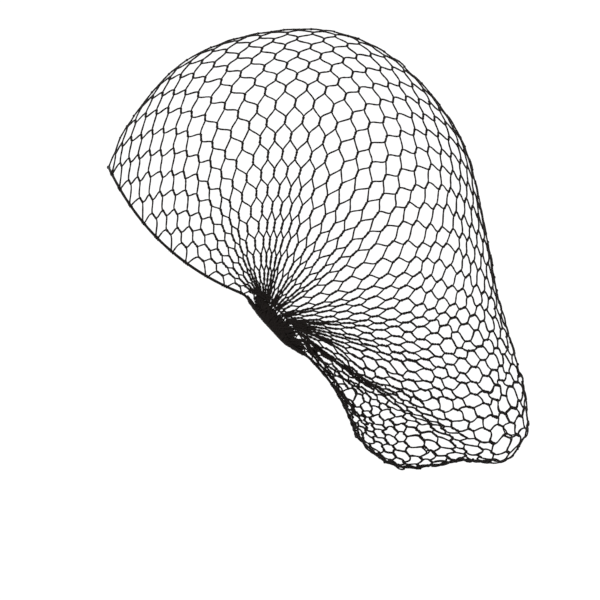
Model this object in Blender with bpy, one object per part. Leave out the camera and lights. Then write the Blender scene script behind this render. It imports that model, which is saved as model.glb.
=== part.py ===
"""Hairnet in the form in which it is worn: a bag of hexagonal netting, edged all round by one elastic.

Metres, +Z up. The front of the head faces -Y and the wearer's left is +X. The origin is the middle of
the line from ear to ear, at the places where the columns of the net fan out.
"""
from math import cos, hypot, pi, radians, sin

import bmesh
import bpy
from mathutils import Matrix, Vector

# Sizes of the worn form, measured from the ear line
FRONT_REACH = 0.0855
BAG_REACH = 0.1455
CROWN_HEIGHT = 0.1515
BAG_DROP = 0.0905
HEAD_HALF_WIDTH = 0.084
EAR_HALF_WIDTH = 0.078

# The tight bunch of net at each ear, which lies along the elastic
GATHER_LENGTH = 0.041
GATHER_WIDTH = 0.0075
GATHER_THICKNESS = 0.0036
GATHER_SLOPE = radians(47)
GATHER_BACK = 0.0045
GATHER_DROP = 0.0135

# Net and elastic
NET_WALL = 0.0014
ELASTIC_DIAMETER = 0.0015
CLEARANCE = 0.0003
HEM_CLEARANCE = 0.0006

# Gaps of the net: columns lie side by side from the forehead to the nape, rows follow from ear to ear
GAP_COLUMNS = 19
GAP_ROWS = 6
BAR_WIDTH = 0.0052
PILLAR_SHARE = 0.62
OPEN_SHARE = 0.80
EAR_ROWS = 3
HEM_STEPS = 8
PILLAR_STEPS = 2

# Sections of the bag from the forehead edge to the nape edge, each run from ear to ear.
# reach: how far back the section's middle lies, of BAG_REACH, or of FRONT_REACH when negative.
# rise: how high it lies, of CROWN_HEIGHT, or of BAG_DROP when negative.
# half_width: of HEAD_HALF_WIDTH. fullness: 2 is an ellipse, more is squarer.
# taper: share of the width that is lost on the way from the ear to the middle.
# sag: how far the run from ear to middle bends off a straight line, of that line's length.
# bunch: where the run meets the gather, of GATHER_LENGTH.
SECTIONS = (
    # reach, rise, half_width, fullness, taper, sag, bunch
    (-1.000, 0.508, 0.90, 2.25, 0.00, 0.105, 0.00),  # forehead edge
    (-0.888, 0.650, 0.93, 2.30, 0.00, 0.060, 0.03),
    (-0.535, 0.875, 0.97, 2.40, 0.00, 0.015, 0.07),
    (-0.077, 0.982, 1.00, 2.45, 0.00, 0.000, 0.12),
    (0.270, 0.990, 1.00, 2.45, 0.00, 0.000, 0.18),  # crown
    (0.520, 0.870, 0.99, 2.45, 0.00, 0.000, 0.24),
    (0.740, 0.602, 0.97, 2.40, 0.00, 0.000, 0.30),
    (0.824, 0.290, 0.95, 2.35, 0.03, 0.000, 0.37),  # back of the head
    (0.889, 0.000, 0.93, 2.45, 0.12, 0.000, 0.46),
    (0.974, -0.420, 0.92, 2.70, 0.22, 0.000, 0.56),  # bag
    (0.994, -0.752, 0.91, 2.80, 0.26, 0.000, 0.66),
    (0.912, -0.942, 0.90, 2.80, 0.26, 0.000, 0.74),
    (0.752, -0.942, 0.90, 2.70, 0.24, 0.000, 0.81),
    (0.547, -1.000, 0.89, 2.55, 0.20, 0.000, 0.88),
    (0.434, -0.948, 0.89, 2.45, 0.16, 0.030, 0.94),
    (0.352, -0.810, 0.89, 2.35, 0.12, 0.060, 1.00),  # nape edge
)

# Folds of slack net that run from the ear into the bag, each as a raised ridge.
# place: share of the outline at its crest. spread: half its width, as a share of the outline.
# height: of GATHER_LENGTH. start, end: where it fades in and out, as shares from ear to middle.
FOLDS = (
    # place, spread, height, start, end
    (0.905, 0.030, 0.085, 0.06, 0.62),
    (0.965, 0.018, 0.060, 0.04, 0.80),
)

RUN_STEPS = 48
NYLON = (0.016, 0.011, 0.009, 1.0)
ELASTIC_COLOUR = (0.012, 0.009, 0.008, 1.0)


def middle_point(row):
    """Side-view place (y, z) of a section's middle."""
    reach, rise = row[0], row[1]
    y = reach * (BAG_REACH if reach > 0 else FRONT_REACH)
    z = rise * (CROWN_HEIGHT if rise > 0 else BAG_DROP)
    return y, z


def outline_knots():
    """Shares of the outline's length at which the sections lie."""
    places = [middle_point(row) for row in SECTIONS]
    knots = [0.0]
    for before, after in zip(places, places[1:]):
        knots.append(knots[-1] + hypot(after[0] - before[0], after[1] - before[1]))
    return [knot / knots[-1] for knot in knots]


KNOTS = outline_knots()


def slope_at(values, index):
    """Slope of the smooth curve through the sections, at one of them."""
    low, high = max(index - 1, 0), min(index + 1, len(KNOTS) - 1)
    return (values[high] - values[low]) / (KNOTS[high] - KNOTS[low])


def section_at(share):
    """All columns of the sections' table, read from a smooth curve at a share of the outline."""
    index = 0
    while index < len(KNOTS) - 2 and share > KNOTS[index + 1]:
        index += 1
    step = KNOTS[index + 1] - KNOTS[index]
    t = (share - KNOTS[index]) / step
    columns = [middle_point(row) + row[2:] for row in SECTIONS]
    row = []
    for values in zip(*columns):
        start, end = values[index], values[index + 1]
        rise, fall = slope_at(values, index) * step, slope_at(values, index + 1) * step
        row.append(start + t * rise + t * t * (3 * (end - start) - 2 * rise - fall)
                   + t ** 3 * (2 * (start - end) + rise + fall))
    return row


def smooth_step(value):
    """0 below 0, 1 above 1 and smooth between."""
    value = min(max(value, 0.0), 1.0)
    return value * value * (3 - 2 * value)


GATHER_ALONG = Vector((0, cos(GATHER_SLOPE), -sin(GATHER_SLOPE)))
GATHER_UP = Vector((0, sin(GATHER_SLOPE), cos(GATHER_SLOPE)))
GATHER_MIDDLE = Vector((EAR_HALF_WIDTH, GATHER_BACK, -GATHER_DROP))


def gather_line(share):
    """Point at the left ear on the straight line of the elastic, at a share of the gather."""
    return GATHER_MIDDLE + GATHER_ALONG * GATHER_LENGTH * (share - 0.5)


def net_end(share):
    """Point at the left ear where the net ends, just above the gather."""
    round_off = (max(1 - (2 * share - 1) ** 2, 0.0)) ** 0.5
    height = ELASTIC_DIAMETER / 2 + CLEARANCE + GATHER_WIDTH / 2 * (1 + round_off) + 2 * CLEARANCE
    return gather_line(share) + GATHER_UP * height


def run_points(share):
    """Points of one section's run, from the left ear to the middle."""
    y, z, half_width, fullness, taper, sag, bunch = section_at(share)
    ear = net_end(min(max(bunch, 0.0), 1.0))
    across, up = y - ear.y, z - ear.z
    widest = half_width * HEAD_HALF_WIDTH
    points = []
    for step in range(RUN_STEPS + 1):
        angle = pi / 2 * step / RUN_STEPS
        out = sin(angle) ** (2 / fullness)
        side = max(cos(angle), 0.0) ** (2 / fullness)
        bend = sag * 4 * out * (1 - out)
        width = EAR_HALF_WIDTH + (widest - EAR_HALF_WIDTH) * smooth_step(out / 0.45)
        width = width * (1 - taper * smooth_step(out)) + fold_height(share, out)
        points.append(Vector((width * side, ear.y + across * out - up * bend,
                              ear.z + up * out + across * bend)))
    return points


def fold_height(share, out):
    """How far the folds lift the net off the head here."""
    total = 0.0
    for place, spread, height, start, end in FOLDS:
        across = smooth_step(1 - abs(share - place) / spread)
        along = smooth_step((out - start) / 0.15) * smooth_step((end - out) / 0.25)
        total += height * GATHER_LENGTH * across * along
    return total


RUNS = {}


def surface_point(share, along):
    """Point of the net: share of the outline, and along from -1 (right ear) over 0 (middle) to 1."""
    key = round(share, 6)
    if key not in RUNS:
        points = run_points(share)
        lengths = [0.0]
        for before, after in zip(points, points[1:]):
            lengths.append(lengths[-1] + (after - before).length)
        RUNS[key] = points, lengths
    points, lengths = RUNS[key]
    wanted = lengths[-1] * (1 - abs(along))
    index = 0
    while index < RUN_STEPS - 1 and wanted > lengths[index + 1]:
        index += 1
    t = (wanted - lengths[index]) / max(lengths[index + 1] - lengths[index], 1e-9)
    point = points[index].lerp(points[index + 1], min(max(t, 0.0), 1.0))
    if abs(along) < 1e-9:
        point.x = 0.0
    return Vector((point.x if along >= 0 else -point.x, point.y, point.z))


def material(name, colour, roughness):
    """Plain Principled material of one colour."""
    made = bpy.data.materials.new(name)
    made.use_nodes = True
    shader = made.node_tree.nodes["Principled BSDF"]
    shader.inputs["Base Color"].default_value = colour
    shader.inputs["Roughness"].default_value = roughness
    made.diffuse_color = colour
    return made


def add_object(name, data, look):
    """Links a mesh or curve as an object with its material."""
    data.materials.append(look)
    made = bpy.data.objects.new(name, data)
    bpy.context.collection.objects.link(made)
    return made


def row_lines():
    """Places of the lines between rows of cells, from the right ear to the left."""
    open_step = 2 * OPEN_SHARE / GAP_ROWS
    opened = [-OPEN_SHARE + open_step * row for row in range(GAP_ROWS + 1)]
    ear_step = (1 - OPEN_SHARE) / EAR_ROWS
    right = [-1 + ear_step * row for row in range(EAR_ROWS)]
    left = [1 - ear_step * row for row in reversed(range(EAR_ROWS))]
    return right + opened + left


def upright_points(mesh, column, low, high):
    """Corners between two row lines on one upright side of the cells, finer along the two hems."""
    last = 2 * GAP_COLUMNS
    steps = HEM_STEPS if column in (0, last) else PILLAR_STEPS
    return [mesh.verts.new(surface_point(column / last, low + (high - low) * step / steps))
            for step in range(1, steps)]


def net_mesh():
    """Hexagonal cells laid over the bag, with a gap inset in each cell of the open rows."""
    lines = row_lines()
    last = 2 * GAP_COLUMNS
    zigzag = (1 - PILLAR_SHARE) * 2 * OPEN_SHARE / GAP_ROWS
    mesh = bmesh.new()
    corners, heights = [], []
    for row, line in enumerate(lines):
        inner = EAR_ROWS <= row <= EAR_ROWS + GAP_ROWS
        shifts = [zigzag / 2 * (1 if (row + column) % 2 else -1) if inner else 0.0
                  for column in range(last + 1)]
        heights.append([line + shift for shift in shifts])
        corners.append([mesh.verts.new(surface_point(column / last, height))
                        for column, height in enumerate(heights[row])])
    cells = {}
    for row in range(len(lines) - 1):
        below, above = corners[row], corners[row + 1]
        edges = {column: upright_points(mesh, column, heights[row][column], heights[row + 1][column])
                 for column in range(last + 1) if (row + column) % 2 or column in (0, last)}
        for column in range(row % 2, last + 1, 2):
            left, right = max(column - 1, 0), min(column + 1, last)
            ring = below[left:right + 1] + edges[right] + above[left:right + 1][::-1] + edges[left][::-1]
            cells.setdefault(row, []).append(mesh.faces.new(ring))
    bmesh.ops.recalc_face_normals(mesh, faces=mesh.faces)
    for row in range(EAR_ROWS, EAR_ROWS + GAP_ROWS):
        cut_gaps(mesh, cells[row])
    solid = [face for face in mesh.faces if len(face.verts) > 4]
    bmesh.ops.triangulate(mesh, faces=solid)
    data = bpy.data.meshes.new("net")
    mesh.to_mesh(data)
    mesh.free()
    return data


def cell_width(face):
    """Width of a cell across its columns: twice its area over its outline, near enough."""
    return 4 * face.calc_area() / face.calc_perimeter()


def cut_gaps(mesh, faces):
    """Insets each cell by half a bar, less where the cells narrow to the ears, and opens it."""
    for face in faces:
        bar = min(BAR_WIDTH / 2, 0.27 * cell_width(face))
        bmesh.ops.inset_individual(mesh, faces=[face], thickness=bar, use_even_offset=True)
    bmesh.ops.delete(mesh, geom=faces, context="FACES_ONLY")


def build_net(look):
    """The netting as one thin shell, open where the head goes in and cut through in each gap."""
    net = add_object("net", net_mesh(), look)
    wall = net.modifiers.new("wall", "SOLIDIFY")
    wall.thickness = NET_WALL
    wall.offset = 0.0
    wall.use_even_offset = False
    return net


def edge_point(share, along):
    """Centre of the elastic beside the net's front edge (share 0) or nape edge (share 1)."""
    inside = 0.02 if share < 0.5 else 0.98
    here = surface_point(share, along)
    tangent = surface_point(share, along + 0.01) - surface_point(share, along - 0.01)
    outward = here - surface_point(inside, along)
    outward -= outward.project(tangent)
    return here + outward.normalized() * (ELASTIC_DIAMETER / 2 + HEM_CLEARANCE)


def elastic_route():
    """Closed route of the elastic: forehead, left ear, nape, right ear."""
    front = [edge_point(0.0, -0.98 + 1.96 * step / 40) for step in range(41)]
    nape = [edge_point(1.0, 0.98 - 1.96 * step / 36) for step in range(37)]
    left = [gather_line(0.12 + 0.76 * step / 5) for step in range(6)]
    right = [Vector((-point.x, point.y, point.z)) for point in reversed(left)]
    return front + left + nape + right


def build_elastic(look):
    """The one closed elastic round the opening."""
    curve = bpy.data.curves.new("elastic", "CURVE")
    curve.dimensions = "3D"
    curve.bevel_depth = ELASTIC_DIAMETER / 2
    curve.bevel_resolution = 2
    route = elastic_route()
    line = curve.splines.new("POLY")
    line.points.add(len(route) - 1)
    for place, point in zip(line.points, route):
        place.co = (*point, 1.0)
    line.use_cyclic_u = True
    return add_object("elastic", curve, look)


def build_gather(side, name, look):
    """The tight bunch of net at one ear: a flat lens between the elastic and the fan of columns."""
    mesh = bmesh.new()
    bmesh.ops.create_uvsphere(mesh, u_segments=20, v_segments=12, radius=1.0)
    size = Matrix.Diagonal((GATHER_THICKNESS / 2, GATHER_LENGTH / 2, GATHER_WIDTH / 2, 1))
    turn = Matrix.Rotation(-GATHER_SLOPE, 4, "X")
    bmesh.ops.transform(mesh, matrix=turn @ size, verts=mesh.verts)
    data = bpy.data.meshes.new(name)
    mesh.to_mesh(data)
    mesh.free()
    data.shade_smooth()
    gather = add_object(name, data, look)
    lift = ELASTIC_DIAMETER / 2 + CLEARANCE + GATHER_WIDTH / 2
    place = GATHER_MIDDLE + GATHER_UP * lift
    gather.location = (side * place.x, place.y, place.z)
    return gather


def main():
    """Builds every piece of the hairnet."""
    for old in list(bpy.data.objects):
        bpy.data.objects.remove(old, do_unlink=True)
    nylon = material("nylon", NYLON, 0.45)
    elastic = material("elastic", ELASTIC_COLOUR, 0.6)
    build_net(nylon)
    build_elastic(elastic)
    build_gather(1, "ear_gather_left", nylon)
    build_gather(-1, "ear_gather_right", nylon)


main()
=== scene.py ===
"""Hairnet as worn: knotted nylon netting laid strand by strand over the frame's bag form.

Metres, +Z up. The forehead faces -Y and the wearer's left is +X. The origin is the middle of the line
from ear to ear.
"""

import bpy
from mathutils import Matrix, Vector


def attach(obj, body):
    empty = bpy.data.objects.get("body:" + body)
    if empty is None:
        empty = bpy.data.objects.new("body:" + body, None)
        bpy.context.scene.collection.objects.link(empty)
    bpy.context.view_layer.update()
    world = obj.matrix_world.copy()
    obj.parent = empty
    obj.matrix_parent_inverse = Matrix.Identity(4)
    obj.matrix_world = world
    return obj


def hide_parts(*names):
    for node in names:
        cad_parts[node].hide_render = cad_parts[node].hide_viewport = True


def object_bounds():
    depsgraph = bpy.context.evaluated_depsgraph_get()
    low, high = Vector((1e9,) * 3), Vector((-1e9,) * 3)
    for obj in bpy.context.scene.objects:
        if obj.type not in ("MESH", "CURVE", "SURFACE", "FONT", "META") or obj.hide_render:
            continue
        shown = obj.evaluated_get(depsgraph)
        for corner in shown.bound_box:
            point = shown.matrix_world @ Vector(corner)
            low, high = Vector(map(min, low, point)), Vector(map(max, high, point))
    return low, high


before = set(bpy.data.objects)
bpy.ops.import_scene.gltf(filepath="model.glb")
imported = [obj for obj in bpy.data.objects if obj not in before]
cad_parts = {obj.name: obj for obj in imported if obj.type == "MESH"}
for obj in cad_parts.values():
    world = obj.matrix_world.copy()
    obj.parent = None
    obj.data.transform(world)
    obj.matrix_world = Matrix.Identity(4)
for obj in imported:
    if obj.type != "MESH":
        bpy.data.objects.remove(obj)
CAD_BOX = [list(corner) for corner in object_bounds()]

from math import cos, pi, radians, sin

import bmesh
import bpy
import numpy as np
from bpy.props import FloatProperty, FloatVectorProperty, IntProperty, PointerProperty
from mathutils import Matrix, Vector

bl_info = {
    "name": "Hairnet",
    "version": (1, 0, 0),
    "blender": (4, 5, 0),
    "location": "View3D > Sidebar > Hairnet",
    "description": "Builds the strands, elastic and ear gathers of a worn hairnet, and its stage",
    "category": "Add Mesh",
}

# The worn form, repeated from the part's source
FRONT_REACH = 0.0855
BAG_REACH = 0.1455
CROWN_HEIGHT = 0.1515
BAG_DROP = 0.0905
HEAD_HALF_WIDTH = 0.084
EAR_HALF_WIDTH = 0.078
GATHER_LENGTH = 0.041
GATHER_WIDTH = 0.0075
GATHER_THICKNESS = 0.0036
GATHER_SLOPE = radians(47)
GATHER_BACK = 0.0045
GATHER_DROP = 0.0135
CORD_DIAMETER = 0.0015
CLEARANCE = 0.0003
HEM_CLEARANCE = 0.0006
# Shares of the way from ear to middle: where the width is the section's own, and a fold's two slopes
WIDTH_SETTLED = 0.45
FOLD_RISE = 0.15
FOLD_FALL = 0.25

SECTIONS = (
    # reach, level, half_width, fullness, taper, sag, bunch
    (-1.000, 0.508, 0.90, 2.25, 0.00, 0.105, 0.00),  # forehead edge
    (-0.888, 0.650, 0.93, 2.30, 0.00, 0.060, 0.03),
    (-0.535, 0.875, 0.97, 2.40, 0.00, 0.015, 0.07),
    (-0.077, 0.982, 1.00, 2.45, 0.00, 0.000, 0.12),
    (0.270, 0.990, 1.00, 2.45, 0.00, 0.000, 0.18),  # crown
    (0.520, 0.870, 0.99, 2.45, 0.00, 0.000, 0.24),
    (0.740, 0.602, 0.97, 2.40, 0.00, 0.000, 0.30),
    (0.824, 0.290, 0.95, 2.35, 0.03, 0.000, 0.37),  # back
    (0.889, 0.000, 0.93, 2.45, 0.12, 0.000, 0.46),
    (0.974, -0.420, 0.92, 2.70, 0.22, 0.000, 0.56),  # bag
    (0.994, -0.752, 0.91, 2.80, 0.26, 0.000, 0.66),
    (0.912, -0.942, 0.90, 2.80, 0.26, 0.000, 0.74),
    (0.752, -0.942, 0.90, 2.70, 0.24, 0.000, 0.81),
    (0.547, -1.000, 0.89, 2.55, 0.20, 0.000, 0.88),
    (0.434, -0.948, 0.89, 2.45, 0.16, 0.030, 0.94),
    (0.352, -0.810, 0.89, 2.35, 0.12, 0.060, 1.00),  # nape edge
)
FOLDS = (
    # place, spread, height, start, end
    (0.905, 0.030, 0.085, 0.06, 0.62),
    (0.965, 0.018, 0.060, 0.04, 0.80),
)

# How the cells lie on that form, measured off the worn net.
# COLUMN_SHARES are shares of all columns, from the forehead edge to the nape edge.
# outline: where each lies on the outline, about a third of the way down from the middle.
# turn: how far it moves on along the outline with each row towards the ear.
# lean: how far, in columns per row, its twisted pillars lean off the run of the rows.
# slack: 0 where the net is drawn tight, 1 where it hangs loose.
COLUMN_SHARES = (0.0, 0.024, 0.071, 0.143, 0.214, 0.286, 0.357, 0.429, 0.476, 0.524, 0.571, 0.643,
                 0.714, 0.786, 0.857, 0.929, 1.0)
COLUMN_OUTLINE = (0.0, 0.030, 0.086, 0.170, 0.253, 0.335, 0.421, 0.508, 0.564, 0.615, 0.660, 0.722,
                  0.778, 0.832, 0.884, 0.940, 1.0)
COLUMN_TURN = (0.0, 0.0, -0.0002, 0.0003, 0.0010, 0.0014, 0.0020, 0.0026, 0.0032, 0.0030, 0.0026,
               0.0016, 0.0008, 0.0, 0.0, 0.0, 0.0)
COLUMN_LEAN = (0.0, 0.10, 0.24, 0.24, 0.15, 0.0, -0.20, -0.22, -0.20, -0.14, -0.08, -0.04,
               0.0, 0.0, 0.0, 0.0, 0.0)
COLUMN_SLACK = (0.10, 0.10, 0.12, 0.14, 0.16, 0.18, 0.20, 0.24, 0.28, 0.36, 0.50, 0.75, 0.95, 1.0,
                1.0, 1.0, 0.9)
# Which share of the way from ear to middle each row lies at. ROW_COUNTS counts the rows from the
# middle to the ear, and ROW_COLUMNS tells at which shares of all columns the table's lines hold.
ROW_COUNTS = (0, 2, 4, 8, 12, 14, 16, 18, 19, 20, 21, 22)
ROW_COLUMNS = (0.0, 0.071, 0.143, 0.238, 0.333, 0.429, 0.5, 0.6, 0.8, 1.0)
ROW_OUT = (
    (1.0, 0.835, 0.706, 0.512, 0.350, 0.281, 0.190, 0.112, 0.078, 0.046, 0.020, 0.0),
    (1.0, 0.875, 0.762, 0.569, 0.381, 0.290, 0.200, 0.114, 0.070, 0.036, 0.013, 0.0),
    (1.0, 0.885, 0.782, 0.606, 0.408, 0.306, 0.212, 0.118, 0.068, 0.026, 0.008, 0.0),
    (1.0, 0.892, 0.794, 0.631, 0.425, 0.318, 0.217, 0.118, 0.066, 0.022, 0.006, 0.0),
    (1.0, 0.898, 0.802, 0.643, 0.454, 0.343, 0.235, 0.125, 0.070, 0.024, 0.007, 0.0),
    (1.0, 0.912, 0.835, 0.681, 0.490, 0.369, 0.250, 0.135, 0.078, 0.028, 0.008, 0.0),
    (1.0, 0.912, 0.835, 0.690, 0.500, 0.384, 0.262, 0.146, 0.088, 0.034, 0.010, 0.0),
    (1.0, 0.905, 0.815, 0.655, 0.480, 0.378, 0.270, 0.160, 0.102, 0.046, 0.014, 0.0),
    (1.0, 0.905, 0.810, 0.635, 0.460, 0.370, 0.275, 0.175, 0.120, 0.066, 0.022, 0.0),
    (1.0, 0.905, 0.810, 0.625, 0.445, 0.355, 0.265, 0.175, 0.125, 0.075, 0.030, 0.0),
)

# The crumpled pleat below each ear: the outline share of its crest on the way from ear to middle.
# Strands lose PLEAT_PULL of their distance to it, in full as far off as PLEAT_FULL, then fading over
# PLEAT_FADE. Both are shares of the outline, towards the forehead and towards the nape.
PLEAT_OUT = (0.0, 0.06, 0.125, 0.212, 0.275, 0.325, 0.406, 0.52)
PLEAT_CREST = (0.942, 0.920, 0.900, 0.882, 0.869, 0.857, 0.840, 0.81)
PLEAT_PULL = 0.44
PLEAT_FULL = (0.016, 0.048)
PLEAT_FADE = (0.10, 0.055)

# How far the strands stray from an even lattice, in shares of the outline
CLUMP_SIZE = 0.015  # columns that crowd together beside the ear
CLUMP_REACH = 0.17
DRIFT_SIZE = 0.0014  # all over
CRUMPLE_SIZE = 0.0100  # in the pleat
RUCHE_PULL = 0.66  # columns that crowd on the nape edge
RUCHE_REACH = 0.026
# and in metres off the bag
SWELL_SIZE = 0.0016  # where the net is slack
CREST_SIZE = 0.0034  # the pleat's crest
SAG_SIZE = 0.0016  # the bag's underside at its middle, outwards
ROUND_SIZE = 0.0042  # the underside's two corners, inwards
BAG_COLUMNS = (0.80, 0.08)  # share of all columns where the underside begins, and its fade

# Strands. Plies, knots, leg ends and hem loops are sized in radii of a single thread.
THREAD_SIDES = 5
KNOT_SIDES = 6
CORD_SIDES = 10
CORD_SWELL = 0.05  # of its radius
UNEVEN_TIGHT = 0.02  # wandering of the pillars, in columns and rows, where the net is tight
UNEVEN_SLACK = 0.085  # what slack adds to it
SIDES_APART = 0.14  # how far the two sides differ where it is slack,
SIDES_ALIKE = 0.04  # less this much everywhere
HEM_PILLAR = 0.0008  # metres of twisted thread at a hem
EAR_PILLAR = 0.0004  # and at an ear
PILLAR_UNEVEN = 0.12
PILLAR_TURNS = 0.9
PLY_SWING = 0.66
PLY_RADIUS = 0.80
KNOT_REACH = 2.2
KNOT_SPOTS = np.array((-0.75, -0.38, 0.38, 0.75))
KNOT_RADII = np.array((0.45, 1.45, 1.45, 0.45))
LEG_POINTS = 8
LEG_ASIDE = 0.6
LEG_ALONG = 0.62  # how much a leg leaves in the pillar's direction
LEG_AHEAD = 0.55  # and in that of its other end
LEG_BOW = (0.00010, 0.00040)  # metres sideways where the net is tight, and what slack adds
LEG_LIFT = (0.0001, 0.0005)  # the same, off the bag
LEG_OWN = 0.15  # how far the legs of the two sides differ
HEM_LOOP_TURNS = 2.6
HEM_LOOP_LENGTH = 0.0034  # metres along the elastic
HEM_LOOP_RADIUS = 0.55
HEM_LOOP_OFF = 0.15

# The elastic leaves the hems for the gather at these shares of the way from middle to ear, and lies
# straight between these shares of the gather. Its route is then evened out and smoothed.
FRONT_END = 0.965
NAPE_END = 0.96
ON_GATHER = (0.27, 0.74)
ROUTE_POINTS = 1300
ROUTE_SMOOTHING = 36

# Gathers
STRANDS_PER_COLUMN = 3
STRAND_LEVELS = (-1.2, -0.3)  # where the strands end, in halves of the width
STRAND_RADII = (0.65, 0.95)
OUTER_SHARE = 0.72  # of the strands, on the gather's outer face
WRAPS = 120
WRAP_TURNS = 1.1
CORE_SIZE = (0.47, 0.40, 0.51)  # of the thickness, width and length
CORE_RISE = 0.36  # of the width

# The photograph's middle, seen from the left: how far behind and above the origin
PICTURE_MIDDLE = (0.01925, 0.00275)
CAMERA_DISTANCE = 2.0
FLOOR_SIZE = 15.0
FLOOR_GAP = 0.0015
SKY_STRENGTH = 1.07
LIGHTS = (
    # name, place, aim, size, power
    ("key", (1.6, -1.5, 1.7), (0, 0, 0.03), 1.6, 11),
    ("fill", (1.4, 1.6, 0.9), (0, 0, 0), 1.4, 4),
    ("top", (-0.6, 0.2, 2.2), (0, 0, 0), 1.8, 8),
)

# Pieces of the netting, by the share of all columns at which each starts and ends
NET_PIECES = (
    ("net_forehead", 0.0, 0.25),
    ("net_crown", 0.25, 0.50),
    ("net_back", 0.50, 0.75),
    ("net_bag", 0.75, 1.0),
)


def smooth(value):
    """0 below 0, 1 above 1 and smooth between, for numbers or arrays."""
    value = np.clip(value, 0.0, 1.0)
    return value * value * (3 - 2 * value)


def rise(value, start, length):
    """0 up to the start and 1 from start + length on."""
    return smooth((value - start) / length)


def fall(value, end, length):
    """1 up to end - length and 0 from the end on."""
    return smooth((end - value) / length)


def unit(vectors):
    """The same directions with length 1."""
    return vectors / np.maximum(np.linalg.norm(vectors, axis=-1, keepdims=True), 1e-12)


def lengths(points):
    """How far along a path each of its points lies."""
    return np.concatenate(([0.0], np.cumsum(np.linalg.norm(np.diff(points, axis=0), axis=1))))


def evened(points, count):
    """The same path with a number of evenly spaced points."""
    length = lengths(points)
    wanted = np.linspace(0, length[-1], count)
    return np.stack([np.interp(wanted, length, points[:, axis]) for axis in range(3)], axis=-1)


def outline_table():
    """The sections' table with its first two columns as the middle's place (y, z) in metres."""
    rows = []
    for reach, level, *rest in SECTIONS:
        y = reach * (BAG_REACH if reach > 0 else FRONT_REACH)
        z = level * (CROWN_HEIGHT if level > 0 else BAG_DROP)
        rows.append((y, z, *rest))
    return np.array(rows)


TABLE = outline_table()
KNOTS = lengths(TABLE[:, :2])
KNOTS = KNOTS / KNOTS[-1]
LOW_ROW = np.maximum(np.arange(len(KNOTS)) - 1, 0)
HIGH_ROW = np.minimum(np.arange(len(KNOTS)) + 1, len(KNOTS) - 1)
SLOPES = (TABLE[HIGH_ROW] - TABLE[LOW_ROW]) / (KNOTS[HIGH_ROW] - KNOTS[LOW_ROW])[:, None]

GATHER_ALONG = np.array((0.0, cos(GATHER_SLOPE), -sin(GATHER_SLOPE)))
GATHER_UP = np.array((0.0, sin(GATHER_SLOPE), cos(GATHER_SLOPE)))
GATHER_MIDDLE = np.array((EAR_HALF_WIDTH, GATHER_BACK, -GATHER_DROP))
GATHER_FOOT = CORD_DIAMETER / 2 + CLEARANCE
GATHER_HEART = GATHER_MIDDLE + GATHER_UP * (GATHER_FOOT + GATHER_WIDTH / 2)


def sections_at(shares):
    """The table read from a smooth curve at many shares of the outline."""
    index = np.searchsorted(KNOTS[1:-1], shares, side="left")
    step = (KNOTS[index + 1] - KNOTS[index])[:, None]
    t = (shares - KNOTS[index])[:, None] / step
    start, end = TABLE[index], TABLE[index + 1]
    leave, arrive = SLOPES[index] * step, SLOPES[index + 1] * step
    return (start + t * leave + t ** 2 * (3 * (end - start) - 2 * leave - arrive)
            + t ** 3 * (2 * (start - end) + leave + arrive))


def gather_line(share):
    """Points at the left ear on the straight line of the elastic."""
    return GATHER_MIDDLE + GATHER_ALONG * GATHER_LENGTH * (np.asarray(share)[..., None] - 0.5)


def net_end(share):
    """Points at the left ear where the net ends, just above the gather."""
    round_off = np.sqrt(np.maximum(1 - (2 * share - 1) ** 2, 0.0))
    height = GATHER_FOOT + GATHER_WIDTH / 2 * (1 + round_off) + 2 * CLEARANCE
    return gather_line(share) + GATHER_UP * height[..., None]


def fold_height(share, out):
    """How far the two long folds stand off the bag."""
    total = 0.0
    for place, spread, height, start, end in FOLDS:
        across = smooth(1 - np.abs(share - place) / spread)
        along = rise(out, start, FOLD_RISE) * fall(out, end, FOLD_FALL)
        total = total + height * GATHER_LENGTH * across * along
    return total


GRID_SHARES = 513
GRID_OUT = 161
RUN_ANGLES = 97


def bag_grid():
    """The left half of the bag as a grid: outline share by share of the way from ear to middle."""
    shares = np.linspace(0, 1, GRID_SHARES)
    columns = (column[:, None] for column in sections_at(shares).T)
    y, z, half_width, fullness, taper, sag, bunch = columns
    ear = net_end(np.clip(bunch[:, 0], 0, 1))
    angle = np.linspace(0, pi / 2, RUN_ANGLES)[None, :]
    out = np.sin(angle) ** (2 / fullness)
    side = np.maximum(np.cos(angle), 0.0) ** (2 / fullness)
    across, up = y - ear[:, 1:2], z - ear[:, 2:3]
    bend = sag * 4 * out * (1 - out)
    widening = (half_width * HEAD_HALF_WIDTH - EAR_HALF_WIDTH) * smooth(out / WIDTH_SETTLED)
    width = EAR_HALF_WIDTH + widening
    width = width * (1 - taper * smooth(out)) + fold_height(shares[:, None], out)
    run = np.stack((width * side, ear[:, 1:2] + across * out - up * bend,
                    ear[:, 2:3] + up * out + across * bend), axis=-1)
    even = np.stack([evened(points, GRID_OUT) for points in run])
    even[:, -1, 0] = 0.0
    return even


GRID = bag_grid()
GRID_NORMAL = unit(np.cross(np.gradient(GRID, axis=0), np.gradient(GRID, axis=1)))
GRID_NORMAL[:, -1, 0] = 0.0


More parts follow.
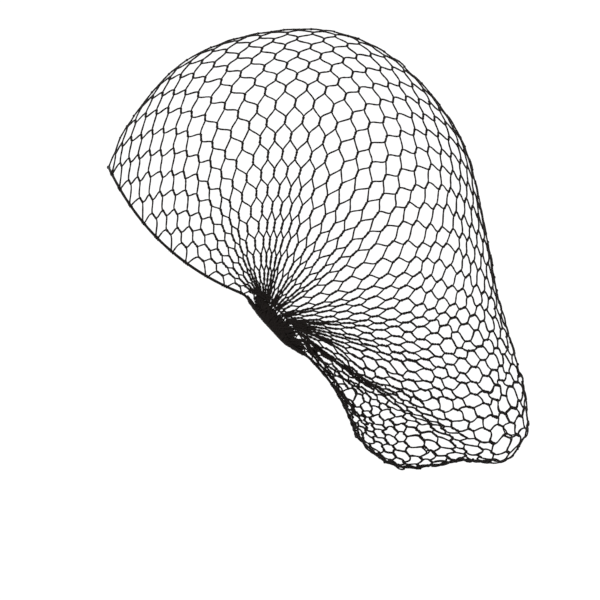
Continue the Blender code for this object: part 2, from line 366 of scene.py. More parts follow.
def read_grid(grid, share, along):
    """A grid's value at a share of the outline and along from 1 (left ear) over 0 to -1 (right ear)."""
    share, along = np.broadcast_arrays(np.asarray(share, float), np.asarray(along, float))
    row = np.clip(share, 0, 1) * (GRID_SHARES - 1)
    column = np.clip(1 - np.abs(along), 0, 1) * (GRID_OUT - 1)
    low_row = np.minimum(row.astype(int), GRID_SHARES - 2)
    low_column = np.minimum(column.astype(int), GRID_OUT - 2)
    s, t = (row - low_row)[..., None], (column - low_column)[..., None]
    value = ((grid[low_row, low_column] * (1 - t) + grid[low_row, low_column + 1] * t) * (1 - s)
             + (grid[low_row + 1, low_column] * (1 - t) + grid[low_row + 1, low_column + 1] * t) * s)
    value[..., 0] *= np.where(along < 0, -1.0, 1.0)
    return value


def place(share, along):
    """Points of the bag."""
    return read_grid(GRID, share, along)


def outward(share, along):
    """Directions that point off the bag."""
    return unit(read_grid(GRID_NORMAL, share, along))


def edge_centre(share, along):
    """Centre of the elastic beside the net's forehead edge (share 0) or nape edge (share 1)."""
    inside = 0.02 if share < 0.5 else 0.98
    here = place(share, along)
    tangent = unit(place(share, along + 0.01) - place(share, along - 0.01))
    away = here - place(inside, along)
    away = unit(away - tangent * np.sum(away * tangent, axis=-1, keepdims=True))
    return here + away * (CORD_DIAMETER / 2 + HEM_CLEARANCE)


def waves(seed, count, low, high):
    """A seeded sum of plane waves over columns and rows, from about -1 to 1."""
    chance = np.random.default_rng(seed)
    turn = chance.uniform(0, 2 * pi, count)
    pace = chance.uniform(low, high, count)
    shift = chance.uniform(0, 2 * pi, count)

    def read(column, row):
        total = 0.0
        for a, b, c in zip(turn, pace, shift):
            total = total + np.sin(b * (np.cos(a) * column + np.sin(a) * row) + c)
        return total / count ** 0.5
    return read


DRIFT = waves(3, 9, 0.25, 0.7)
CLUMP = waves(5, 7, 0.9, 1.9)
SWELL = waves(7, 9, 0.3, 0.9)
CRUMPLE = waves(11, 9, 1.3, 2.6)


class Lattice:
    """Where the cells' columns and rows lie on the bag."""

    def __init__(self, settings):
        self.columns = settings.columns
        self.rows = settings.rows
        self.slack = settings.slack

    def outs(self, part, count):
        """The table of rows read between its columns and rows."""
        spot = np.interp(part, ROW_COLUMNS, np.arange(len(ROW_COLUMNS)))
        low = np.minimum(spot.astype(int), len(ROW_COLUMNS) - 2)
        each = np.stack([np.interp(count, ROW_COUNTS, row) for row in ROW_OUT])
        before = np.take_along_axis(each, low[None], axis=0)[0]
        after = np.take_along_axis(each, low[None] + 1, axis=0)[0]
        return before + (after - before) * (spot - low)

    def place(self, column, row):
        """Outline share, along and height off the bag, for columns from the forehead edge and
        rows from the left ear."""
        fold = np.abs(row - self.rows)
        count = np.clip(fold / self.rows, 0, 1) * ROW_COUNTS[-1]
        part = np.clip(column / self.columns, 0, 1)
        out = np.clip(self.outs(part, count), 0, 1)
        share = (np.interp(part, COLUMN_SHARES, COLUMN_OUTLINE)
                 + np.interp(part, COLUMN_SHARES, COLUMN_TURN) * (count - 8))
        hem = rise(part, 0, 0.03) * fall(part, 1, 0.03)
        tight = PLEAT_PULL * fall(out, 0.50, 0.26)
        clump = CLUMP_SIZE * np.exp(-out / CLUMP_REACH) * CLUMP(column, fold * 0.25) * hem
        crumple = CRUMPLE_SIZE * tight * rise(part, 0.66, 0.1) * fall(part, 1, 0.11)
        crumple = crumple * CRUMPLE(column * 0.6, fold)
        drift = (DRIFT_SIZE * DRIFT(column, fold) + crumple) * hem
        share = share + clump + drift
        crest = np.interp(out, PLEAT_OUT, PLEAT_CREST)
        apart = share - crest
        full, fade = (np.where(apart < 0, *pair) for pair in (PLEAT_FULL, PLEAT_FADE))
        pull = (1 - rise(np.abs(apart), full, fade)) * fall(share, 1, 0.04)
        share = crest + apart * (1 - tight * pull)
        edge = 1 - share
        share = 1 - edge * (1 - RUCHE_PULL * np.exp(-edge / RUCHE_REACH) * fall(out, 0.62, 0.35))
        loose = np.interp(part, COLUMN_SHARES, COLUMN_SLACK) * rise(out, 0, 0.3) * self.slack
        sagging = rise(part, *BAG_COLUMNS) * fall(part, 1, 0.10) * rise(out, 0.4, 0.2)
        height = (SWELL_SIZE * loose * SWELL(column, fold) + SAG_SIZE * sagging) * hem
        height = height + CREST_SIZE * tight * pull * rise(out, 0, 0.08) * (0.6 + CRUMPLE(column, fold))
        rounding = rise(part, *BAG_COLUMNS) * fall(part, 1, 0.05) * rise(out, 0.30, 0.30)
        height = height - ROUND_SIZE * rounding * fall(out, 0.90, 0.30)
        return np.clip(share, 0, 1), np.sign(self.rows - row) * (1 - out), height, loose


def turned(first, second, angle):
    """Directions at angles from the first ones towards the second ones."""
    first, second, angle = first[..., None, :], second[..., None, :], angle[..., None]
    return first * np.cos(angle) + second * np.sin(angle)


def rings(paths, ahead, lift, radii, sides):
    """A ring of corners round each point of the paths."""
    side = unit(np.cross(ahead, lift))
    ring = turned(side, np.cross(side, ahead), 2 * pi * np.arange(sides) / sides)
    return paths[..., None, :] + ring * radii[..., None, None]


def wall_uv(sides, low, high):
    """UVs of a tube's walls, round it and between two distances along it."""
    u = np.arange(sides) / sides
    beyond = u + 1 / sides
    return np.stack((u + 0 * low, low + 0 * u, u + 0 * high, high + 0 * u, beyond + 0 * high,
                     high + 0 * u, beyond + 0 * low, low + 0 * u), axis=-1).reshape(-1, 2)


def tube_batch(paths, radii, sides, lift):
    """Closed round tubes along many paths of the same point count, as one batch of corners and faces.

    paths is (tubes, points, 3), radii one number or (tubes, points), and lift (tubes, 3) a direction
    across the paths.
    """
    tubes, points = paths.shape[:2]
    radii = np.broadcast_to(radii, (tubes, points))
    corners = rings(paths, unit(np.gradient(paths, axis=1)), lift[:, None, :], radii, sides)
    steps = np.linalg.norm(np.diff(paths, axis=1), axis=-1)
    length = np.concatenate((np.zeros((tubes, 1)), np.cumsum(steps, axis=1)), axis=1)
    index = np.arange(tubes * points * sides).reshape(tubes, points, sides)
    after = np.roll(index, -1, axis=2)
    quads = np.stack((index[:, :-1], index[:, 1:], after[:, 1:], after[:, :-1]), axis=-1)
    quad_uv = wall_uv(sides, length[:, :-1, None] * 1000, length[:, 1:, None] * 1000)
    caps = np.concatenate((index[:, 0, :], index[:, -1, ::-1]))
    return corners.reshape(-1, 3), quads.reshape(-1, 4), quad_uv, caps, np.zeros((caps.size, 2))


def closed_tube(path, radii, sides, lift):
    """One ring-shaped tube along a closed path."""
    ahead = unit(np.roll(path, -1, axis=0) - np.roll(path, 1, axis=0))
    corners = rings(path, ahead, lift, radii, sides)
    index = np.arange(len(path) * sides).reshape(len(path), sides)
    ahead_row, across = np.roll(index, -1, axis=0), np.roll(index, -1, axis=1)
    quads = np.stack((index, ahead_row, np.roll(ahead_row, -1, axis=1), across), axis=-1)
    steps = np.linalg.norm(np.roll(path, -1, axis=0) - path, axis=-1)
    high = np.cumsum(steps)[:, None] * 1000
    quad_uv = wall_uv(sides, high - steps[:, None] * 1000, high)
    return (corners.reshape(-1, 3), quads.reshape(-1, 4), quad_uv, np.empty((0, sides), int),
            np.empty((0, 2)))


def put(name, data):
    """A new object in the scene."""
    made = bpy.data.objects.new(name, data)
    bpy.context.collection.objects.link(made)
    return made


def put_shape(name, shape, look):
    """A new object from a finished bmesh."""
    mesh = bpy.data.meshes.new(name)
    shape.to_mesh(mesh)
    shape.free()
    mesh.materials.append(look)
    return put(name, mesh)


def add_mesh(name, batches, look, node):
    """Joins batches of tubes into one smooth mesh piece that stands for a CAD node."""
    corners, loops, counts, uvs, base = [], [], [], [], 0
    for points, quads, quad_uv, caps, cap_uv in batches:
        corners.append(points)
        for faces, uv in ((quads, quad_uv), (caps, cap_uv)):
            if len(faces):
                loops.append((faces + base).ravel())
                counts.append(np.full(len(faces), faces.shape[1]))
                uvs.append(uv)
        base += len(points)
    corners, loops, counts, uvs = (np.concatenate(part) for part in (corners, loops, counts, uvs))
    mesh = bpy.data.meshes.new(name)
    mesh.vertices.add(len(corners))
    mesh.vertices.foreach_set("co", corners.astype(np.float32).ravel())
    mesh.loops.add(len(loops))
    mesh.loops.foreach_set("vertex_index", loops.astype(np.int32))
    mesh.polygons.add(len(counts))
    starts = np.concatenate(([0], np.cumsum(counts)[:-1]))
    mesh.polygons.foreach_set("loop_start", starts.astype(np.int32))
    mesh.update(calc_edges=True)
    layer = mesh.uv_layers.new(name="thread")
    layer.data.foreach_set("uv", uvs.astype(np.float32).ravel())
    mesh.polygons.foreach_set("use_smooth", np.ones(len(counts), bool))
    mesh.validate()
    mesh.materials.append(look)
    piece = put(name, mesh)
    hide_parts(node)
    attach(piece, "root")


def curve_paths(start, end, leave, arrive, points):
    """Smooth paths between pairs of points that leave and arrive in the given directions."""
    t = np.linspace(0, 1, points)[None, :, None]
    start, end, leave, arrive = (value[:, None, :] for value in (start, end, leave, arrive))
    return ((2 * t ** 3 - 3 * t ** 2 + 1) * start + (t ** 3 - 2 * t ** 2 + t) * leave
            + (3 * t ** 2 - 2 * t ** 3) * end + (t ** 3 - t ** 2) * arrive)


class Netting:
    """All pillars, legs and knots of the netting as arrays."""

    def __init__(self, settings):
        self.lattice = Lattice(settings)
        self.radius = settings.thread / 2
        self.pillar = settings.pillar
        self.chance = np.random.default_rng(21)
        last, rows = 2 * settings.columns, 2 * settings.rows
        half, row = np.meshgrid(np.arange(last + 1), np.arange(rows + 1), indexing="ij")
        self.last, self.last_row = last, rows
        even = (half + row) % 2 == 0
        column = half / 2
        inner = (half > 0) & (half < last)
        loose = self.lattice.place(column, row.astype(float))[3]
        jitter = self.uneven(half.shape, loose)
        wander = UNEVEN_TIGHT + UNEVEN_SLACK * loose
        column = np.where(inner, column + jitter[0] * wander, column)
        line = np.where((row > 0) & (row < rows), row + jitter[1] * wander, row)
        share, along, height, self.loose = self.lattice.place(column, line)
        self.centre = place(share, along) + outward(share, along) * height[..., None]
        self.normal = outward(share, along)
        self.way = self.pillar_way(column, line)
        self.across = unit(np.cross(self.normal, self.way))
        self.place_hems(along)
        length = self.pillar * (1 + PILLAR_UNEVEN * jitter[2]) * smooth(0.35 + self.near_ear(row))
        length[0], length[-1] = HEM_PILLAR, HEM_PILLAR
        length[:, 0], length[:, -1] = EAR_PILLAR, EAR_PILLAR
        self.low = self.centre - self.way * length[..., None] / 2
        self.high = self.centre + self.way * length[..., None] / 2
        self.even, self.half, self.row = even, half, row
        self.leg_fields = self.chance.normal(0, 1, (3, 2) + half.shape)

    def uneven(self, shape, loose):
        """Seeded unevenness of each pillar: across, along and in length. The two sides are alike where
        the net is tight, as it is knitted evenly, and each goes its own way where it is slack."""
        both, own = self.chance.normal(0, 1, (3,) + shape), self.chance.normal(0, 1, (3,) + shape)
        side = self.lattice.rows
        for index, sign in ((0, 1), (1, -1), (2, 1)):
            both[index, :, side + 1:] = sign * both[index, :, :side][:, ::-1]
        both[1, :, side] = 0.0
        apart = np.clip(loose * SIDES_APART - SIDES_ALIKE, 0, 1)
        return both * (1 - apart) ** 0.5 + own * apart ** 0.5

    def near_ear(self, row):
        """0 at either ear, growing by 1 with every 4 rows."""
        return (self.lattice.rows - np.abs(row - self.lattice.rows)) / 4

    def pillar_way(self, column, line):
        """Directions of the twisted pillars, from the left ear's side to the right ear's."""
        step = 0.25
        lean = (np.interp(column / self.lattice.columns, COLUMN_SHARES, COLUMN_LEAN)
                * np.sign(self.lattice.rows - line) * smooth(np.abs(self.lattice.rows - line) / 2))
        ends = []
        for sign in (-1, 1):
            share, along, height, _ = self.lattice.place(
                column + lean * sign * step, np.clip(line + sign * step, 0, self.last_row))
            ends.append(place(share, along) + outward(share, along) * height[..., None])
        return unit(ends[1] - ends[0])

    def place_hems(self, along):
        """Moves the attachments onto the elastic."""
        for index, share in ((0, 0.0), (-1, 1.0)):
            self.centre[index] = edge_centre(share, along[index])
            self.way[index] = unit(edge_centre(share, along[index] - 0.01)
                                   - edge_centre(share, along[index] + 0.01))
            self.across[index] = unit(np.cross(self.normal[index], self.way[index]))

    def select(self, low, high):
        """Pillars whose half column lies in a range, leaving out the ears' and the hems'."""
        return (self.even & (self.half >= low) & (self.half < high) & (self.row > 0)
                & (self.row < self.last_row) & (self.half > 0) & (self.half < self.last))

    def pillars(self, low, high):
        """Two threads twisted round each other in each pillar."""
        chosen = self.select(low, high)
        start, end = self.low[chosen], self.high[chosen]
        across, normal = self.across[chosen], self.normal[chosen]
        t = np.linspace(0, 1, 7)
        phase = self.chance.uniform(0, 2 * pi, len(start))
        batches = []
        for strand in (0, pi):
            angle = phase[:, None] + strand + 2 * pi * PILLAR_TURNS * t[None, :]
            swing = turned(across, normal, angle) * self.radius * PLY_SWING
            path = start[:, None, :] + (end - start)[:, None, :] * t[None, :, None] + swing
            batches.append(tube_batch(path, self.radius * PLY_RADIUS, THREAD_SIDES, normal))
        return batches

    def knots(self, low, high):
        """A small turned knot at both ends of each pillar."""
        chosen = self.select(low, high)
        batches = []
        for point in (self.low[chosen], self.high[chosen]):
            way = self.way[chosen] * self.radius * KNOT_REACH
            path = point[:, None, :] + way[:, None, :] * KNOT_SPOTS[None, :, None]
            size = self.chance.uniform(0.85, 1.2, len(point))[:, None]
            radii = KNOT_RADII * self.radius * size
            batches.append(tube_batch(path, radii, KNOT_SIDES, self.normal[chosen]))
        return batches

    def legs(self, low, high):
        """The single threads that fork from one pillar to the next row's two pillars."""
        batches = []
        for turn in (-1, 1):
            half, row = np.nonzero(self.even & (self.half >= low) & (self.half < high)
                                   & (self.row < self.last_row)
                                   & (self.half + turn >= 0) & (self.half + turn <= self.last))
            near, far = (half, row), (half + turn, row + 1)
            side = self.radius * LEG_ASIDE
            start = self.high[near] + self.across[near] * side * turn
            end = self.low[far] - self.across[far] * side * turn
            gap = end - start
            reach = np.linalg.norm(gap, axis=1, keepdims=True)
            chord = gap / reach
            leave, arrive = (
                np.where(np.isin(ends[0], (0, self.last))[:, None], chord,
                         unit(self.way[ends] * LEG_ALONG + chord * LEG_AHEAD)) * reach
                for ends in (near, far))
            path = curve_paths(start, end, leave, arrive, LEG_POINTS)
            loose = (self.loose[near] + self.loose[far])[:, None] / 2
            normal = unit(self.normal[near] + self.normal[far])
            bow = unit(np.cross(normal, chord))
            t = np.linspace(0, 1, LEG_POINTS)[None, :]
            bowed, lifted, twisted = self.leg_chance(turn, half, row)
            wave = np.sin(pi * t) * bowed + 0.5 * np.sin(2 * pi * t) * twisted
            path = path + bow[:, None, :] * (wave * (LEG_BOW[0] + LEG_BOW[1] * loose))[..., None]
            lifted = np.sin(pi * t) * lifted * (LEG_LIFT[0] + LEG_LIFT[1] * loose)
            path = path + normal[:, None, :] * lifted[..., None]
            radii = self.radius * self.chance.uniform(0.84, 1.16, path.shape[:2])
            batches.append(tube_batch(path, radii, THREAD_SIDES, normal))
        return batches

    def leg_chance(self, turn, half, row):
        """Seeded bow, lift and twist of the legs, almost the same on both sides of the net."""
        second = row >= self.lattice.rows
        column = np.where(second, half + turn, half)
        line = np.where(second, self.last_row - row - 1, row)
        way = np.where(second, -turn, turn) > 0
        bowed, lifted, twisted = self.leg_fields[:, way.astype(int), column, line, None]
        own = self.chance.normal(0, LEG_OWN, (3, len(half), 1))
        return bowed + own[0], lifted + own[1], twisted * np.where(second, -1, 1)[:, None] + own[2]

    def hem_loops(self, index, cord_radius):
        """Threads wound round the elastic where the net is caught on it."""
        rows = np.arange(2, self.last_row - 1, 2)
        centre, way = self.centre[index, rows], self.way[index, rows]
        normal = self.normal[index, rows]
        across = unit(np.cross(normal, way))
        t = np.linspace(0, 1, 21)
        angle = 2 * pi * HEM_LOOP_TURNS * t[None, :] + self.chance.uniform(0, 2 * pi, (len(rows), 1))
        swing = turned(across, np.cross(way, across), angle)
        path = (centre[:, None, :] + swing * (cord_radius + self.radius * HEM_LOOP_OFF)
                + way[:, None, :] * ((t - 0.5) * HEM_LOOP_LENGTH)[None, :, None])
        return [tube_batch(path, self.radius * HEM_LOOP_RADIUS, THREAD_SIDES, way)]

    def ear_ends(self):
        """Where each column's threads meet at the left ear, for the gather's strands."""
        return self.centre[::2, 0]


class Term:
    """A material socket that can be added, subtracted, multiplied and divided like a number."""

    def __init__(self, tree, socket=None):
        self.tree, self.socket = tree, socket

    def node(self, kind, settings=(), inputs=(), output=0):
        """Any node: its settings first, then the values or links of its sockets."""
        made = self.tree.nodes.new(kind)
        for name, value in dict(settings).items():
            setattr(made, name, value)
        for name, value in dict(inputs).items():
            if isinstance(value, Term):
                self.tree.links.new(value.socket, made.inputs[name])
            else:
                made.inputs[name].default_value = value
        return Term(self.tree, made.outputs[output])

    def maths(self, operation, first, second=0.0):
        """One Math node."""
        return self.node("ShaderNodeMath", {"operation": operation}, {0: first, 1: second})

    def __add__(self, other):
        return self.maths("ADD", self, other)

    def __sub__(self, other):
        return self.maths("SUBTRACT", self, other)

    def __rsub__(self, other):
        return self.maths("SUBTRACT", other, self)

    def __mul__(self, other):
        return self.maths("MULTIPLY", self, other)

    def __truediv__(self, other):
        return self.maths("DIVIDE", self, other)

    def sine(self):
        """Its sine."""
        return self.maths("SINE", self)


def mixed(factor, first, second):
    """One colour passing into another."""
    inputs = {0: factor, 6: first, 7: second}
    return factor.node("ShaderNodeMix", {"data_type": "RGBA"}, inputs, output=2)


def new_material(name):
    """A material, its shader and a term to start its maths from."""
    look = bpy.data.materials.new(name)
    look.use_nodes = True
    return look, look.node_tree.nodes["Principled BSDF"], Term(look.node_tree)


def join(look, shader, **values):
    """Gives the shader's sockets their numbers or terms."""
    for name, value in values.items():
        socket = shader.inputs[name.replace("_", " ")]
        if isinstance(value, Term):
            look.node_tree.links.new(value.socket, socket)
        else:
            socket.default_value = value


def thread_places(term, coarse, fine):
    """Terms round and along a thread, from its own UV, and coarse and fine noise in object space."""
    uv = term.node("ShaderNodeUVMap", {"uv_map": "thread"})
    around = uv.node("ShaderNodeSeparateXYZ", (), {0: uv})
    along = Term(term.tree, around.socket.node.outputs[1])
    spot = term.node("ShaderNodeTexCoord", output=3)
    noises = [spot.node("ShaderNodeTexNoise", (), {"Vector": spot, "Scale": scale, "Detail": detail})
              for scale, detail in ((coarse, 3.0), (fine, 2.0))]
    return (around, along, *noises)


def brighter(colour, factor):
    """A colour brightened by a factor and a trace more: the lighter end of the thread's and elastic's
    mixes, for their random tone and their painted highlights.
    """
    return tuple(min(part * factor + 0.002, 1.0) for part in colour[:3]) + (1.0,)


def nylon_surface(look, shader, base, roughness, height, relief, strength):
    """Gives a shader a soft lustre and the relief of a height."""
    inputs = {"Height": height, "Distance": relief, "Strength": strength}
    bump = height.node("ShaderNodeBump", (), inputs)
    join(look, shader, Base_Color=base, Roughness=roughness, Normal=bump,
         Specular_IOR_Level=0.08, Sheen_Weight=0.01, Sheen_Roughness=0.4)


def thread_material(colour):
    """Soft-lustre nylon yarn: two plies in a steep twist of fine filaments, dark brown-black."""
    look, shader, term = new_material("net_thread_nylon")
    around, along, cloud, fine = thread_places(term, 90.0, 2600.0)
    ply = ((around + along / 1.1) * (4 * pi)).sine() * 0.5 + 0.5
    fibre = ((around * 7 + along / 0.45) * (2 * pi)).sine() * 0.5 + 0.5
    # Painted highlight along the raised filament ridges (fibre term), with random tone from the cloud
    # noise and lighter grooves between the plies.
    tone_and_ridge_highlight = cloud * 0.45 + fibre * 0.22 + (1 - ply) * 0.12
    base = mixed(tone_and_ridge_highlight, tuple(colour), brighter(colour, 2.4))
    height = ply * 0.65 + fibre * 0.2 + fine * 0.25
    nylon_surface(look, shader, base, fine * 0.2 + cloud * 0.14 + 0.42, height, 0.00007, 0.85)
    return look


def elastic_material(colour):
    """Fine elastic with a tight braided nylon cover: two crossing helices over a round core."""
    look, shader, term = new_material("elastic_cord_cover")
    around, along, cloud, fine = thread_places(term, 140.0, 3200.0)
    right = ((around * 5 + along / 0.8) * (2 * pi)).sine()
    left = ((around * 5 - along / 0.8) * (2 * pi)).sine()
    braid = right * left * 0.5 + 0.5
    # Painted highlight on the braid's raised crossings (braid term), with random tone from the cloud
    # noise.
    base = mixed(braid * 0.35 + cloud * 0.4, tuple(colour), brighter(colour, 2.2))
    height = braid * 0.8 + fine * 0.3
    nylon_surface(look, shader, base, fine * 0.2 + cloud * 0.15 + 0.42, height, 0.00008, 0.8)
    return look


def floor_material(colour):
    """Pale matt paper with the faintest mottling."""
    look, shader, term = new_material("floor_paper")
    spot = term.node("ShaderNodeTexCoord", output=3)
    cloud = spot.node("ShaderNodeTexNoise", (), {"Vector": spot, "Scale": 3.0, "Detail": 4.0})
    pale = tuple(colour)
    deeper = tuple(part * 0.985 for part in colour[:3]) + (1.0,)
    join(look, shader, Base_Color=mixed(cloud, pale, deeper), Roughness=0.9, Specular_IOR_Level=0.1)
    return look


def kept(name, make, colour):
    """A material that several operators share, made once."""
    return bpy.data.materials.get(name) or make(colour)


class HairnetNetSettings(bpy.types.PropertyGroup):
    """Sizes and colour of the netting."""

    columns: IntProperty(name="Columns", description="Columns of cells from forehead to nape",
                         default=42, min=20, max=70)
    rows: IntProperty(name="Rows a side", description="Rows of cells from one ear to the middle",
                      default=22, min=12, max=40)
    thread: FloatProperty(name="Thread", description="Diameter of one thread", default=0.00094,
                          min=0.0003, max=0.001, precision=5, unit="LENGTH", subtype="DISTANCE")
    pillar: FloatProperty(name="Pillar", description="Length of the twisted stretch between two cells",
                          default=0.0027, min=0.001, max=0.006, precision=4, unit="LENGTH",
                          subtype="DISTANCE")
    slack: FloatProperty(name="Slack", description="How loosely the bag hangs", default=1.0, min=0.0,
                         max=1.5, subtype="FACTOR")
    colour: FloatVectorProperty(name="Nylon", description="Colour of the nylon thread", size=4,
                                default=(0.0050, 0.0036, 0.0031, 1.0), min=0.0, max=1.0,
                                subtype="COLOR")


class HairnetElasticSettings(bpy.types.PropertyGroup):
    """Size and colour of the elastic."""

    cord: FloatProperty(name="Elastic", description="Diameter of the elastic", default=0.0015,
                        min=0.0008, max=0.0025, precision=4, unit="LENGTH", subtype="DISTANCE")
    colour: FloatVectorProperty(name="Elastic cover", description="Colour of the elastic's cover",
                                size=4, default=(0.0042, 0.0034, 0.0031, 1.0), min=0.0, max=1.0,
                                subtype="COLOR")


class HairnetStageSettings(bpy.types.PropertyGroup):
    """Floor, light and camera."""

    floor: FloatVectorProperty(name="Floor", description="Colour of the floor", size=4,
                               default=(0.955, 0.955, 0.95, 1.0), min=0.0, max=1.0, subtype="COLOR")
    light: FloatProperty(name="Light", description="Strength of the soft lights", default=1.0,
                         min=0.1, max=5.0, subtype="FACTOR")
    view: FloatProperty(name="View", description="Width of the picture at the object", default=0.33,
                        min=0.2, max=1.0, unit="LENGTH", subtype="DISTANCE")


def elastic_points():
    """Even points of the elastic's closed route: forehead, left ear, nape and right ear."""
    front = edge_centre(0.0, np.linspace(-FRONT_END, FRONT_END, 401))
    left = gather_line(np.linspace(*ON_GATHER, 31))
    nape = edge_centre(1.0, np.linspace(NAPE_END, -NAPE_END, 401))
    right = left[::-1] * np.array((-1, 1, 1))
    route = np.concatenate((front, left, nape, right))
    even = evened(np.concatenate((route, route[:1])), ROUTE_POINTS + 1)[:-1]
    for _ in range(ROUTE_SMOOTHING):
        even = even * 0.5 + (np.roll(even, 1, axis=0) + np.roll(even, -1, axis=0)) * 0.25
    return even


class HAIRNET_OT_net(bpy.types.Operator):
    """Lay the netting over the bag, strand by strand"""

    bl_idname = "hairnet.net"
    bl_label = "Netting"

    def execute(self, context):
        settings = context.scene.hairnet_net
        look = kept("net_thread_nylon", thread_material, settings.colour)
        netting = Netting(settings)
        for name, low, high in NET_PIECES:
            first = int(round(low * netting.last))
            beyond = int(round(high * netting.last)) + (high == 1.0)
            batches = (netting.legs(first, beyond) + netting.pillars(first, beyond)
                       + netting.knots(first, beyond))
            add_mesh(name, batches, look, "net")
        return {"FINISHED"}


class HAIRNET_OT_elastic(bpy.types.Operator):
    """Make the elastic round the opening with the threads that catch the net on it"""

    bl_idname = "hairnet.elastic"
    bl_label = "Elastic"

    def execute(self, context):
        settings = context.scene.hairnet_elastic
        look = kept("elastic_cord_cover", elastic_material, settings.colour)
        thread = kept("net_thread_nylon", thread_material, context.scene.hairnet_net.colour)
        route = elastic_points()
        radius = settings.cord / 2
        lift = unit(route - route.mean(axis=0))
        swell = waves(31, 8, 0.15, 1.1)(np.arange(len(route)) * 0.35, 0.0)
        cord = closed_tube(route, radius * (1 + CORD_SWELL * swell), CORD_SIDES, lift)
        add_mesh("elastic_cord", [cord], look, "elastic")
        netting = Netting(context.scene.hairnet_net)
        loops = netting.hem_loops(0, radius) + netting.hem_loops(-1, radius)
        add_mesh("elastic_loops", loops, thread, "elastic")
        return {"FINISHED"}


def gather_paths(a, b, x):
    """Paths in the left gather, so many halves of its length and width off its heart and x metres out."""
    return (GATHER_HEART + a[..., None] * GATHER_ALONG * GATHER_LENGTH / 2
            + b[..., None] * GATHER_UP * GATHER_WIDTH / 2 + x[..., None] * np.array((1.0, 0, 0)))


def gather_tubes(paths, radii, lift, mirrored):
    """Tubes in the left gather, or mirrored to the right one along paths that run backwards, so that
    they still face outwards."""
    if mirrored:
        paths = paths[:, ::-1] * np.array((-1, 1, 1))
    return tube_batch(paths, radii, THREAD_SIDES, np.tile(lift, (len(paths), 1)))


def gather_strands(netting, mirrored, chance):
    """Threads that run on from the columns' ends into the gather and crowd along it."""
    ends = np.repeat(netting.ear_ends(), STRANDS_PER_COLUMN, axis=0)
    each = (len(ends), 1)
    local = ends - GATHER_HEART
    along = np.clip(local @ GATHER_ALONG / (GATHER_LENGTH / 2), -0.97, 0.97)
    t = np.linspace(0, 1, 12)[None, :]
    drift = chance.normal(0, 0.16, each)
    level = chance.uniform(*STRAND_LEVELS, each)
    a = np.clip(along[:, None] + (drift - along[:, None] * 0.25) * smooth(t), -0.96, 0.96)
    ripple = 0.10 * np.sin(t * 9 + chance.uniform(0, 6, each))
    b = 1.02 + (level - 1.02) * smooth(t * 1.15) + ripple
    b = b * np.sqrt(np.maximum(1 - a ** 2, 0.03))
    side = np.where(chance.uniform(0, 1, each) < OUTER_SHARE, 1.0, -1.0)
    bulge = np.sqrt(np.maximum(1 - a ** 2 - np.clip(b, -1, 1) ** 2, 0.0))
    x = side * GATHER_THICKNESS / 2 * (bulge * (0.85 + 0.35 * chance.uniform(0, 1, each)) + 0.05)
    paths = gather_paths(a, b, x * smooth(t * 3))
    paths[:, 0] = ends
    radii = netting.radius * chance.uniform(*STRAND_RADII, each)
    return gather_tubes(paths, radii, (1.0, 0.02, 0.03), mirrored)


def gather_wraps(netting, route, mirrored, chance):
    """Turns of thread that bind the gather to the elastic."""
    local = route[route[:, 0] > 0] - GATHER_HEART
    along, up = local @ GATHER_ALONG / (GATHER_LENGTH / 2), local @ GATHER_UP / (GATHER_WIDTH / 2)
    near = (np.abs(along) < 1.3) & (np.abs(up) < 2.5)
    order = np.argsort(along[near])
    each = (WRAPS, 1)
    spot = np.linspace(-1.04, 1.04, WRAPS)[:, None] + chance.normal(0, 0.015, each)
    t = np.linspace(0, 1, 25)[None, :]
    angle = 2 * pi * WRAP_TURNS * t + chance.uniform(0, 2 * pi, each)
    low = np.interp(spot, along[near][order], up[near][order])
    low = low - CORD_DIAMETER * 0.56 / (GATHER_WIDTH / 2)
    room = np.sqrt(np.maximum(1 - spot ** 2, 0.01))
    reach = np.maximum(1 - np.abs(spot / 0.98) ** 1.8, 0) * chance.uniform(0.6, 1.0, each)
    top = np.maximum(-1.2 + (1.5 - 0.6 * smooth(spot / 0.8)) * reach, low + 0.50)
    slant = chance.normal(0, 0.03, each) + spot * 0.04
    a = spot + slant * np.cos(angle) + 0.012 * np.sin(3 * angle)
    b = (top + low) / 2 + (top - low) / 2 * np.cos(angle)
    swing = (0.42 + 0.64 * room) * chance.uniform(0.9, 1.1, each)
    paths = gather_paths(a, b, np.sin(angle) * GATHER_THICKNESS / 2 * swing)
    return gather_tubes(paths, netting.radius, GATHER_ALONG, mirrored)


def gather_core(name, mirrored, look):
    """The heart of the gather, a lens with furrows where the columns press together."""
    shape = bmesh.new()
    bmesh.ops.create_uvsphere(shape, u_segments=96, v_segments=24, radius=1.0)
    for corner in shape.verts:
        furrow = 0.07 * sin(corner.co.z * 58 + 3 * corner.co.y)
        furrow += 0.05 * sin(corner.co.y * 31 - corner.co.x * 17)
        corner.co *= 0.90 + furrow * 0.6
        corner.co.y *= max(1 - corner.co.z ** 2, 0) ** 0.12
        if corner.co.y > 0:
            corner.co.y *= 1 - 0.42 * float(smooth(corner.co.z / 0.8))
    size = np.array(CORE_SIZE) * (GATHER_THICKNESS, GATHER_WIDTH, GATHER_LENGTH)
    centre = GATHER_MIDDLE + GATHER_UP * (GATHER_FOOT + GATHER_WIDTH * CORE_RISE)
    turn = Matrix(((1, 0, 0), GATHER_UP, GATHER_ALONG)).transposed().to_4x4()
    shape.transform(Matrix.Translation(centre) @ turn @ Matrix.Diagonal((*size, 1)))
    if mirrored:
        shape.transform(Matrix.Diagonal((-1, 1, 1, 1)))
    if shape.calc_volume(signed=True) < 0:
        bmesh.ops.reverse_faces(shape, faces=shape.faces)
    layer = shape.loops.layers.uv.new("thread")
    for face in shape.faces:
        face.smooth = True
        for loop in face.loops:
            corner = loop.vert.co
            loop[layer].uv = (corner.dot(GATHER_ALONG) * 600, corner.dot(GATHER_UP) * 1000)
    return put_shape(name, shape, look)


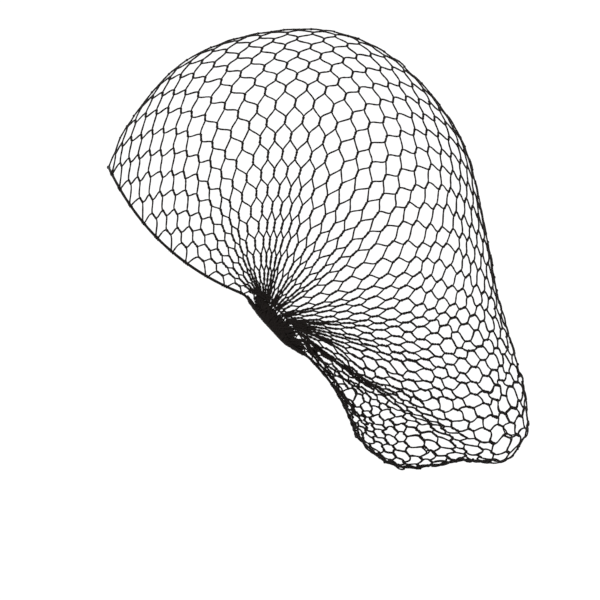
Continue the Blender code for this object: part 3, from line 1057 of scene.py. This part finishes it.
class HAIRNET_OT_gathers(bpy.types.Operator):
    """Bunch the netting on the elastic at both ears"""

    bl_idname = "hairnet.gathers"
    bl_label = "Ear gathers"

    def execute(self, context):
        settings = context.scene.hairnet_net
        look = kept("net_thread_nylon", thread_material, settings.colour)
        netting = Netting(settings)
        route = elastic_points()
        for name, node, mirrored, seed in (("gather_left", "ear_gather_left", False, 41),
                                           ("gather_right", "ear_gather_right", True, 43)):
            chance = np.random.default_rng(seed)
            batches = [gather_strands(netting, mirrored, chance),
                       gather_wraps(netting, route, mirrored, chance)]
            add_mesh(name + "_strands", batches, look, node)
            core = gather_core(name + "_core", mirrored, look)
            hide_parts(node)
            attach(core, "root")
        return {"FINISHED"}


def add_light(name, place_at, aim, size, power):
    """One soft square light that points at a place."""
    data = bpy.data.lights.new(name, "AREA")
    data.shape, data.size, data.energy = "SQUARE", size, power
    light = put(name, data)
    light.location = place_at
    light.rotation_euler = (Vector(aim) - Vector(place_at)).to_track_quat("-Z", "Y").to_euler()


class HAIRNET_OT_stage(bpy.types.Operator):
    """Set the pale floor, the soft light and the camera at the wearer's left"""

    bl_idname = "hairnet.stage"
    bl_label = "Stage"

    def execute(self, context):
        settings = context.scene.hairnet_stage
        ground = bmesh.new()
        bmesh.ops.create_grid(ground, x_segments=8, y_segments=8, size=FLOOR_SIZE)
        ground.transform(Matrix.Translation((0, 0, CAD_BOX[0][2] - FLOOR_GAP)))
        floor = put_shape("floor", ground, floor_material(settings.floor))
        world = bpy.data.worlds.new("studio")
        world.use_nodes = True
        sky = world.node_tree.nodes["Background"]
        sky.inputs["Color"].default_value = (1.0, 1.0, 1.0, 1.0)
        sky.inputs["Strength"].default_value = SKY_STRENGTH
        context.scene.world = world
        context.scene.view_settings.view_transform = "Standard"
        for *light, power in LIGHTS:
            add_light(*light, power * settings.light)
        data = bpy.data.cameras.new("camera")
        data.type = "ORTHO"
        data.ortho_scale = settings.view
        camera = put("camera", data)
        camera.location = (CAMERA_DISTANCE, *PICTURE_MIDDLE)
        camera.rotation_euler = (pi / 2, 0, pi / 2)
        context.scene.camera = camera
        return {"FINISHED"}


class HAIRNET_PT_panel(bpy.types.Panel):
    """The hairnet's pieces and stage"""

    bl_idname = "HAIRNET_PT_panel"
    bl_label = "Hairnet"
    bl_space_type = "VIEW_3D"
    bl_region_type = "UI"
    bl_category = "Hairnet"

    def draw(self, context):
        scene = context.scene
        groups = (
            (scene.hairnet_net, ("columns", "rows", "thread", "pillar", "slack", "colour"),
             ("hairnet.net", "hairnet.gathers")),
            (scene.hairnet_elastic, ("cord", "colour"), ("hairnet.elastic",)),
            (scene.hairnet_stage, ("floor", "light", "view"), ("hairnet.stage",)),
        )
        for settings, names, operators in groups:
            box = self.layout.box()
            for name in names:
                box.prop(settings, name)
            for operator in operators:
                box.operator(operator)


CLASSES = (HairnetNetSettings, HairnetElasticSettings, HairnetStageSettings, HAIRNET_OT_net,
           HAIRNET_OT_elastic, HAIRNET_OT_gathers, HAIRNET_OT_stage, HAIRNET_PT_panel)


def register():
    """Adds the classes and their settings."""
    for cls in CLASSES:
        bpy.utils.register_class(cls)
    bpy.types.Scene.hairnet_net = PointerProperty(type=HairnetNetSettings)
    bpy.types.Scene.hairnet_elastic = PointerProperty(type=HairnetElasticSettings)
    bpy.types.Scene.hairnet_stage = PointerProperty(type=HairnetStageSettings)


def unregister():
    """Takes them away again."""
    del bpy.types.Scene.hairnet_stage
    del bpy.types.Scene.hairnet_elastic
    del bpy.types.Scene.hairnet_net
    for cls in reversed(CLASSES):
        bpy.utils.unregister_class(cls)


def main():
    """Builds every piece and the stage in order."""
    register()
    bpy.ops.hairnet.net()
    bpy.ops.hairnet.elastic()
    bpy.ops.hairnet.gathers()
    bpy.ops.hairnet.stage()


if __name__ == "__main__":
    main()
